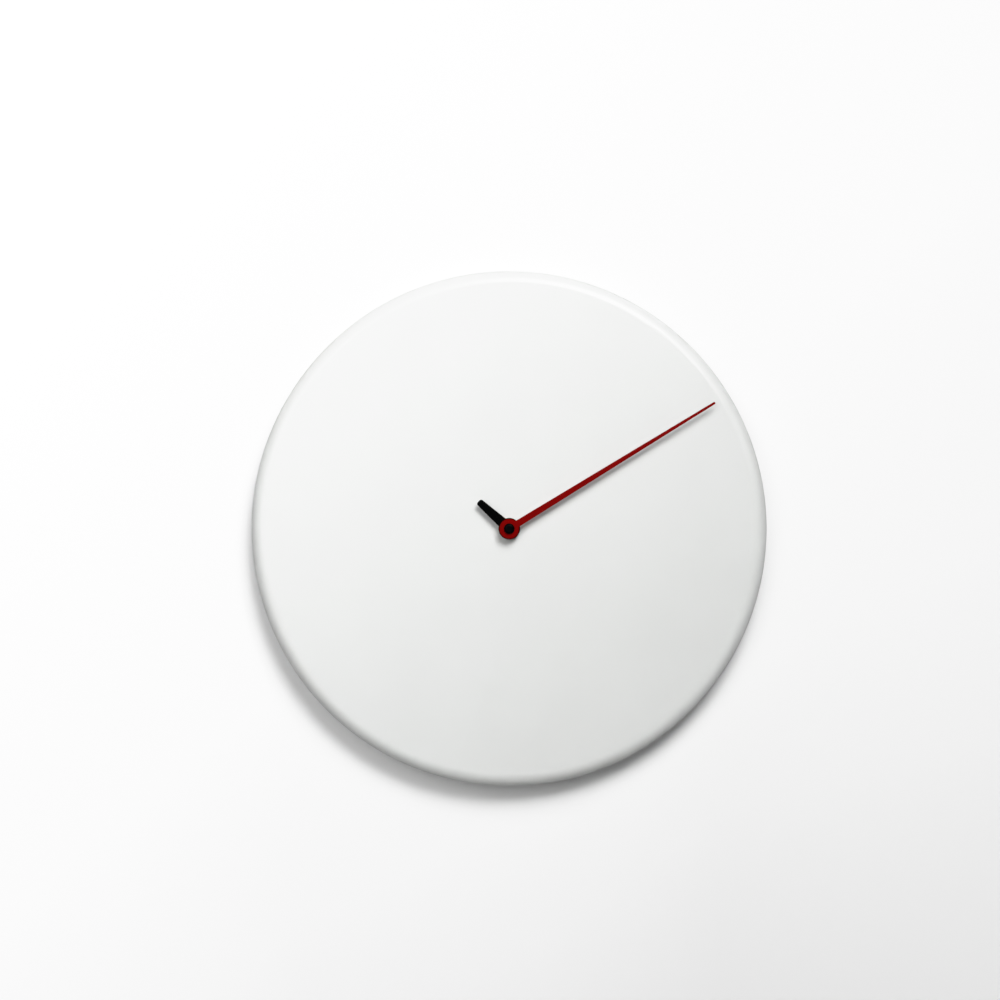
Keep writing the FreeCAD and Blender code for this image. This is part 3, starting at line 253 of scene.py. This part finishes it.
def rubber():
    colour = (0.02, 0.02, 0.021)
    material, t = shader("gasket_rubber", colour, 0.75, specular=0.3)
    t.colour(t.blend(t.scaled(t.noise(2 * MM, 5), 0, 1), colour, (0.05, 0.048, 0.046)))
    t.roughness(t.scaled(t.noise(1 * MM, 4), 0.65, 0.85))
    t.bump((t.noise(0.25 * MM, 3), 0.01 * MM, 0.8))
    return material


def winding():
    """Enamelled copper wire, wound in close turns along the coil. Its colour has painted shade in
    the grooves between the turns and a painted highlight along their tops.
    """
    copper = (0.62, 0.22, 0.09)
    material, t = shader("copper_wire", copper, 0.28, 0.9)
    turns = t.node("ShaderNodeTexWave", wave_type="BANDS", bands_direction=coil_axis())
    turns.inputs["Scale"].default_value = BAND_SCALE / (0.24 * MM)
    turns.inputs["Distortion"].default_value = 0.8
    turns.inputs["Detail"].default_value = 1
    t.link(t.place, turns.inputs["Vector"])
    # Painted shade and painted highlight: the wire's colour is darker between the turns and
    # lighter on their tops.
    t.colour(t.blend(turns.outputs["Fac"], shade(copper, 0.45), shade(copper, 1.2)))
    t.roughness(t.scaled(t.noise(0.8 * MM, 3), 0.22, 0.36))
    t.bump((turns.outputs["Fac"], 0.05 * MM, 0.9))
    return material


def coil_axis():
    low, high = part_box("coil_winding")
    span = high - low
    return "XYZ"[max(range(3), key=lambda i: span[i])]


def laminate():
    """Brown phenolic board with paper fibres."""
    brown = (0.19, 0.10, 0.04)
    material, t = shader("board", brown, 0.5)
    fibres = t.noise(0.7 * MM, 6, t.drawn_along_x(0.25))
    t.colour(t.blend(t.scaled(fibres, 0, 1), shade(brown, 0.75), shade(brown, 1.35)))
    t.roughness(t.scaled(t.noise(2 * MM, 3), 0.42, 0.6))
    t.bump((fibres, 0.01 * MM, 0.5))
    return material


def cell_sleeve():
    """A plain printed sleeve: a copper-coloured band at the positive end and a thin pale ring."""
    low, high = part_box("battery_sleeve")
    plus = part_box("battery_positive_cap")
    towards = 1 if plus[1].x > high.x else -1
    material, t = shader("cell_sleeve", (0.03, 0.04, 0.06), 0.25)
    along = t.math("MULTIPLY", t.split(t.place)["X"], towards)
    middle = towards * (low.x + high.x) / 2
    half = (high.x - low.x) / 2
    band_start = middle + 0.42 * half
    body = t.blend(t.scaled(t.noise(6 * MM, 3), 0, 1), (0.028, 0.036, 0.055), (0.035, 0.046, 0.07))
    band = t.blend(t.scaled(t.noise(2 * MM, 4), 0, 1), (0.50, 0.24, 0.10), (0.58, 0.29, 0.13))
    ring = t.math("LESS_THAN", t.math("ABSOLUTE", t.math("SUBTRACT", along, band_start)), 0.5 * MM)
    in_band = t.math("GREATER_THAN", along, band_start)
    t.colour(t.blend(ring, t.blend(in_band, body, band), (0.75, 0.75, 0.72)))
    t.roughness(t.scaled(t.noise(4 * MM, 4), 0.2, 0.34))
    t.bump((t.noise(1.2 * MM, 2), 0.006 * MM, 0.5))
    return material


def sintered():
    grey = (0.07, 0.07, 0.075)
    material, t = shader("magnet", grey, 0.55, 0.6)
    t.colour(t.blend(t.scaled(t.noise(0.3 * MM, 5), 0, 1), shade(grey, 0.6), shade(grey, 1.6)))
    t.roughness(t.scaled(t.noise(0.5 * MM, 3), 0.45, 0.7))
    t.bump((t.noise(0.15 * MM, 4), 0.01 * MM, 0.8))
    return material


def finishes():
    """The material for each slot of the record."""
    black = (0.0005, 0.0005, 0.0006)
    return {
        "dial_enamel": enamel(),
        "minute_red": lacquer(
            "minute_red", (0.158, 0.0006, 0.0003), 0.42, 0.015, (0.19, 0.002, 0.001)
        ),
        "hour_black": lacquer("hour_black", black, 0.42, 0.015, (0.003, 0.003, 0.003)),
        "cap_black": lacquer("cap_black", black, 0.3, 0.03, (0.002, 0.002, 0.002)),
        "zinc_steel": plated("zinc_steel", (0.60, 0.61, 0.63), 0.36),
        "brass": turned_metal("brass", (0.72, 0.50, 0.20), 0.28),
        "gasket_rubber": rubber(),
        "case_plastic": moulded("case_plastic", (0.022, 0.022, 0.024), 0.48, worn=2.2),
        "knob_plastic": moulded("knob_plastic", (0.03, 0.03, 0.032), 0.42, 0.25, worn=2),
        "plate_plastic": moulded("plate_plastic", (0.72, 0.69, 0.60), 0.42, 0.3, 0.006, 1.1),
        "wheel_plastic": moulded("wheel_plastic", (0.80, 0.77, 0.68), 0.35, 0.2, 0.004, 1.08),
        "arbor_brass": turned_metal("arbor_brass", (0.70, 0.47, 0.18), 0.25),
        "spring_steel": plated("spring_steel", (0.5, 0.5, 0.52), 0.3, 0.4),
        "magnet": sintered(),
        "soft_iron": plated("soft_iron", (0.48, 0.48, 0.49), 0.42, 0.5),
        "bobbin_plastic": moulded("bobbin_plastic", (0.55, 0.50, 0.36), 0.45, 0.2, 0.006, 1.1),
        "copper_wire": winding(),
        "board": laminate(),
        "epoxy": moulded("epoxy", (0.012, 0.012, 0.013), 0.3, 0.6, 0.02, 1.3),
        "nickel": plated("nickel", (0.66, 0.64, 0.60), 0.22, 0.7),
        "cell_sleeve": cell_sleeve(),
    }


# --- Pieces --------------------------------------------------------------------------------------


def mesh_object(name, mesh):
    made = bpy.data.objects.new(name, mesh)
    bpy.context.scene.collection.objects.link(made)
    return made


def arc(centre, radius, start, end, steps):
    """Points (r, stand) on an arc. Angles are in degrees, from outwards (+r) to the front."""
    points = []
    for i in range(steps + 1):
        angle = math.radians(start + (end - start) * i / steps)
        points.append((centre[0] + radius * math.cos(angle), centre[1] + radius * math.sin(angle)))
    return points


def lathed(name, profile, segments):
    """A closed profile of (r, stand) points in mm, turned round the Y axis."""
    mesh = bpy.data.meshes.new(name)
    made = bmesh.new()
    hoops = []
    for radius, stand in profile:
        hoop = []
        for i in range(segments):
            angle = 2 * math.pi * i / segments
            point = (radius * math.cos(angle), -stand, radius * math.sin(angle))
            hoop.append(made.verts.new(Vector(point) * MM))
        hoops.append(hoop)
    for near, far in zip(hoops, hoops[1:] + hoops[:1]):
        for i in range(segments):
            j = (i + 1) % segments
            made.faces.new((near[i], near[j], far[j], far[i]))
    bmesh.ops.recalc_face_normals(made, faces=made.faces)
    for face in made.faces:
        face.smooth = True
    made.to_mesh(mesh)
    made.free()
    return mesh_object(name, mesh)


def dial_shell(material):
    """The drawn dial, one sheet thick: flat face, rounded rim, skirt and a flange turned in."""
    low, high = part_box("dial_dish")
    radius = high.x / MM
    depth = -low.y / MM
    sheet, corner, turn, flange, hole = 1.0, 9.0, 2.0, 10.0, 4.1
    edge = 0.2
    inner = radius - sheet
    # An extra hoop stands this far from each bend, so that the flats beside it shade flat.
    flat, short_flat = 1, 0.4
    profile = [(hole, depth - edge)]
    profile += arc((hole + edge, depth - edge), edge, 180, 90, 3)[1:]
    profile += [(hole + flat, depth), (radius - corner - flat, depth)]
    profile += arc((radius - corner, depth - corner), corner, 90, 0, 24)
    profile += [(radius, depth - corner - flat), (radius, turn + flat)]
    profile += arc((radius - turn, turn), turn, 0, -90, 10)
    profile += [(radius - turn - flat, 0), (radius - flange + edge + short_flat, 0)]
    profile += arc((radius - flange + edge, edge), edge, -90, -180, 3)
    profile += [(radius - flange, sheet - edge)]
    profile += arc((radius - flange + edge, sheet - edge), edge, 180, 90, 3)
    profile += [(radius - flange + flat, sheet), (radius - turn - short_flat, sheet)]
    profile += arc((radius - turn, turn), turn - sheet, -90, 0, 6)
    profile += [(inner, turn + flat), (inner, depth - corner - flat)]
    profile += arc((radius - corner, depth - corner), corner - sheet, 0, 90, 16)
    profile += [(radius - corner - flat, depth - sheet), (hole + flat, depth - sheet)]
    profile += [(hole, depth - sheet)]
    shell = lathed("dial_shell", profile, 512)
    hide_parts("dial_dish")
    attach(shell, "frame")
    shell.data.materials.append(material)


# Width in mm of the small rounding on a CAD piece's sharp edges.
ROUNDED = {
    "minute_hand": 0.14,
    "hour_hand": 0.14,
    "hanger_bracket": 0.12,
    "hanger_washers": 0.1,
    "hanger_nuts": 0.2,
    "hanger_studs": 0.2,
    "fixing_washer": 0.08,
    "fixing_nut": 0.15,
    "centre_bushing": 0.1,
    "movement_case": 0.15,
    "movement_cover": 0.12,
    "middle_plate": 0.08,
    "train_plate": 0.08,
    "stator": 0.05,
    "circuit_board": 0.05,
    "clock_chip": 0.1,
    "positive_contact": 0.04,
    "negative_contact": 0.04,
    "setting_knob": 0.06,
    "setting_shaft": 0.05,
}


def soften(node, width):
    """Joins a CAD mesh's split edges and rounds the sharp ones."""
    weld = node.modifiers.new("weld", "WELD")
    weld.merge_threshold = 0.0005 * MM
    bevel = node.modifiers.new("bevel", "BEVEL")
    bevel.width = width * MM
    bevel.segments = 2
    bevel.limit_method = "ANGLE"
    bevel.angle_limit = math.radians(40)
    bevel.use_clamp_overlap = True
    bevel.harden_normals = True


def finish_nodes(materials):
    """Gives each CAD piece its finish, by the slot that the record names for it."""
    for row in frame["record"]["subparts"]:
        node = frame["nodes"][row["node"]]
        node.data.materials.clear()
        node.data.materials.append(materials[row["material_slot"]])
        if row["node"] in ROUNDED:
            soften(node, ROUNDED[row["node"]])


# --- Stage ---------------------------------------------------------------------------------------


FLOOR_HEIGHT = -1.3
WALL_BACK = 0.0004


def plane(name, material, corners):
    mesh = bpy.data.meshes.new(name)
    mesh.from_pydata(corners, [], [tuple(range(len(corners)))])
    made = mesh_object(name, mesh)
    made.data.materials.append(material)


def wall():
    """A matt white wall, seen from the front only, so that the clock's back shows from behind.

    It throws back less light than it shows, which keeps the dial's rim crisp against it, and a
    painted glow, which only the camera sees, keeps it pale towards the sides, where the key light
    no longer reaches.
    """
    half, top = 5, 3.5
    shown, thrown = (0.95, 0.95, 0.95), (0.5, 0.5, 0.5)
    material, t = shader("wall_paint", shown, 1.0, specular=0.0)
    ray = t.node("ShaderNodeLightPath").outputs
    seen = ray["Is Camera Ray"]
    t.colour(t.blend(seen, thrown, shown))
    # Painted light: the wall glows more towards the sides, in place of light where the key no
    # longer reaches.
    sideways = t.math("ABSOLUTE", t.split(t.place)["X"])
    painted_side_glow = t.scaled(sideways, low=0, high=0.75, start=0.15, end=1.2)
    t.glow(t.math("MULTIPLY", painted_side_glow, seen))
    behind = t.node("ShaderNodeNewGeometry").outputs["Backfacing"]
    clear = t.node("ShaderNodeBsdfTransparent")
    mix = t.node("ShaderNodeMixShader")
    t.link(t.math("MAXIMUM", behind, ray["Is Shadow Ray"]), mix.inputs["Fac"])
    t.link(t.out.outputs["BSDF"], mix.inputs[1])
    t.link(clear.outputs["BSDF"], mix.inputs[2])
    t.link(mix.outputs["Shader"], t.tree.nodes["Material Output"].inputs["Surface"])
    low = [(-half, WALL_BACK, FLOOR_HEIGHT), (half, WALL_BACK, FLOOR_HEIGHT)]
    plane("wall", material, low + [(half, WALL_BACK, top), (-half, WALL_BACK, top)])


def floor():
    """A pale floor far below, which the camera always sees evenly lit."""
    half, high = 6, FLOOR_HEIGHT
    material, t = shader("floor_paint", (0.8, 0.8, 0.79), 0.8, specular=0.2)
    seen = t.node("ShaderNodeLightPath").outputs["Is Camera Ray"]
    t.glow(t.math("MULTIPLY", seen, 0.55))
    corners = ((-half, -half), (half, -half), (half, half), (-half, half))
    plane("floor", material, [(x, y, high) for x, y in corners])


def softbox(name, place, aim, size, power, spread=180.0):
    """A square diffuse lamp at place, facing aim."""
    lamp = bpy.data.lights.new(name, "AREA")
    lamp.shape = "SQUARE"
    lamp.size = size
    lamp.energy = power
    lamp.spread = math.radians(spread)
    made = bpy.data.objects.new(name, lamp)
    made.location = place
    facing = Vector(aim) - Vector(place)
    made.rotation_euler = facing.to_track_quat("-Z", "Y").to_euler()
    made.visible_camera = False
    bpy.context.scene.collection.objects.link(made)


def lights():
    """A large key from above and to the right, a weak fill, and a lamp for the back."""
    centre = (0, 0, 0)
    softbox("key", (0.35, -1.64, 1.22), (-0.54, 0, 0.37), size=1.0, power=14.4, spread=78)
    softbox("fill", (-0.6, -1.65, 0.35), centre, size=0.9, power=11.0)
    softbox("behind", (0.25, 2.6, 0.35), centre, size=0.7, power=40)
    world = bpy.data.worlds.new("world")
    bpy.context.scene.world = world
    world.use_nodes = True
    tree = world.node_tree
    background = tree.nodes["Background"]
    background.inputs["Color"].default_value = (1, 1, 1, 1)
    path = tree.nodes.new("ShaderNodeLightPath")
    level = tree.nodes.new("ShaderNodeMapRange")
    lighting, backdrop = 0.06, 0.86
    level.inputs["To Min"].default_value = lighting
    level.inputs["To Max"].default_value = backdrop
    tree.links.new(path.outputs["Is Camera Ray"], level.inputs["Value"])
    tree.links.new(level.outputs["Result"], background.inputs["Strength"])


def camera():
    """Square on to the wall, a little left of and above the dial's centre."""
    lens, sensor = 90.0, 36.0
    low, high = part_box("dial_dish")
    diameter = high.x - low.x
    share_of_width = 0.5148
    skirt_front = low.y + 9 * MM
    data = bpy.data.cameras.new("camera")
    data.lens = lens
    data.sensor_width = sensor
    made = bpy.data.objects.new("camera", data)
    away = diameter / share_of_width * lens / sensor
    made.location = (-0.0178 * diameter, skirt_front - away, 0.0553 * diameter)
    made.rotation_euler = (math.pi / 2, 0, 0)
    bpy.context.scene.collection.objects.link(made)
    bpy.context.scene.camera = made


def exposure():
    """Linear up to a clean white, then a soft shoulder that holds the wall's brightest part."""
    settings = bpy.context.scene.view_settings
    settings.view_transform = "Standard"
    settings.look = "None"
    brightest = 1.6
    settings.use_curve_mapping = True
    mapping = settings.curve_mapping
    mapping.white_level = (brightest, brightest, brightest)
    curve = mapping.curves[3]
    curve.points[-1].location = (1, 1)
    for seen, shown in ((0.78, 0.78), (0.9, 0.872), (1.0, 0.918), (1.2, 0.965)):
        curve.points.new(seen / brightest, shown)
    for point in curve.points:
        point.handle_type = "VECTOR"
    mapping.update()


def main():
    materials = finishes()
    finish_nodes(materials)
    dial_shell(materials["dial_enamel"])
    wall()
    floor()
    lights()
    camera()
    exposure()
    bpy.context.view_layer.update()


main()
